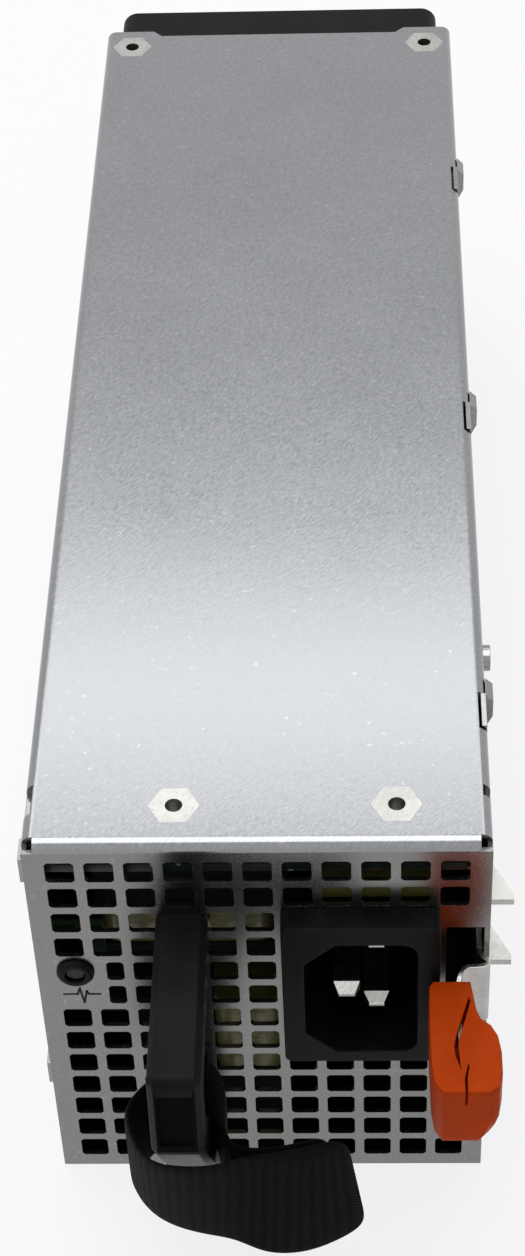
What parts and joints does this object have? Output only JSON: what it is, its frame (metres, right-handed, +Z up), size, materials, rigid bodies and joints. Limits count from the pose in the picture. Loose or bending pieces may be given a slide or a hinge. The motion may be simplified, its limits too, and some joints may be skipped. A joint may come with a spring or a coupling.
{
  "type": "hot swap server power supply",
  "caption": "Long sheet-metal hot swap power supply with a square-hole front grille, recessed cord inlet, pull handle with strap, orange side latch and rear fan.",
  "frame": {"origin": "middle of the underside of the case", "axes": "+Z up, +Y from the front grille into the bay (rear), +X to the right seen from the front"},
  "size_m": [0.0711, 0.2507, 0.0778],
  "materials": {
    "case_steel": "satin zinc coat",
    "plated_fasteners": "bright zinc plate",
    "black_plastic": "fine matt moulding",
    "plated_brass": "nickel plate",
    "lamp_lens": "smoked lens",
    "green_board": "solder mask",
    "webbing": "ribbed woven webbing",
    "spring_steel": "satin spring steel",
    "orange_plastic": "satin moulding",
    "bobbin_plastic": "moulded bobbin",
    "yellow_tape": "polyester tape",
    "fuse_ceramic": "glazed tube",
    "heat_sink": "extruded",
    "can_sleeve": "shrink sleeve",
    "ferrite": "ferrite",
    "copper_winding": "enamelled wire",
    "copper": "bare copper",
    "gold_contacts": "gold plate",
    "white_nylon": "nylon",
    "insulation_film": "polyester sheet",
    "steel_shaft": "ground steel",
    "sintered_bronze": "sintered bronze"
  },
  "bodies": {
    "case": {"top_panel": "case_steel", "front_grille": "case_steel", "wrap_cover": "case_steel", "rear_bracket": "case_steel", "board_standoffs": "plated_fasteners", "rear_nuts": "plated_fasteners", "board_screws": "plated_fasteners", "handle_screws": "plated_fasteners", "latch_rivets": "plated_fasteners", "inlet_housing": "black_plastic", "handle": "black_plastic", "lamp_bezel": "black_plastic", "fan_frame": "black_plastic", "line_blade": "plated_brass", "neutral_blade": "plated_brass", "earth_blade": "plated_brass", "lamp_lens": "lamp_lens", "lamp_board": "green_board", "cable_strap": "webbing", "main_board": "green_board", "output_board": "green_board", "control_board": "green_board", "choke_bobbin": "bobbin_plastic", "stage_choke_base": "bobbin_plastic", "control_chips": "bobbin_plastic", "primary_transistors": "bobbin_plastic", "rectifiers": "bobbin_plastic", "choke_winding": "yellow_tape", "stage_choke_winding": "yellow_tape", "transformer_winding": "yellow_tape", "film_capacitor": "yellow_tape", "inlet_capacitor": "yellow_tape", "line_fuse": "fuse_ceramic", "primary_heat_sink": "heat_sink", "secondary_heat_sink": "heat_sink", "bulk_capacitors": "can_sleeve", "output_capacitors": "can_sleeve", "transformer_core": "ferrite", "output_inductor": "copper_winding", "bus_bars": "copper", "contact_fingers": "gold_contacts", "board_spacers": "white_nylon", "insulation_sheet": "insulation_film", "fan_bearing": "sintered_bronze"},
    "latch": {"latch_spring": "spring_steel", "latch_grip": "orange_plastic"},
    "fan_wheel": {"fan_rotor": "black_plastic", "fan_shaft": "steel_shaft"}
  },
  "joints": [
    {"name": "latch_bend", "type": "hinge", "parent": "case", "child": "latch", "pos_m": [0.0318, -0.036, 0.047], "axis": [0, 0, -1], "range_deg": [0, 1.6], "stiffness_Nm_per_rad": 3},
    {"name": "fan_spin", "type": "hinge", "parent": "case", "child": "fan_wheel", "pos_m": [0, 0.097, 0.0463], "axis": [0, 1, 0], "continuous": true}
  ]
}
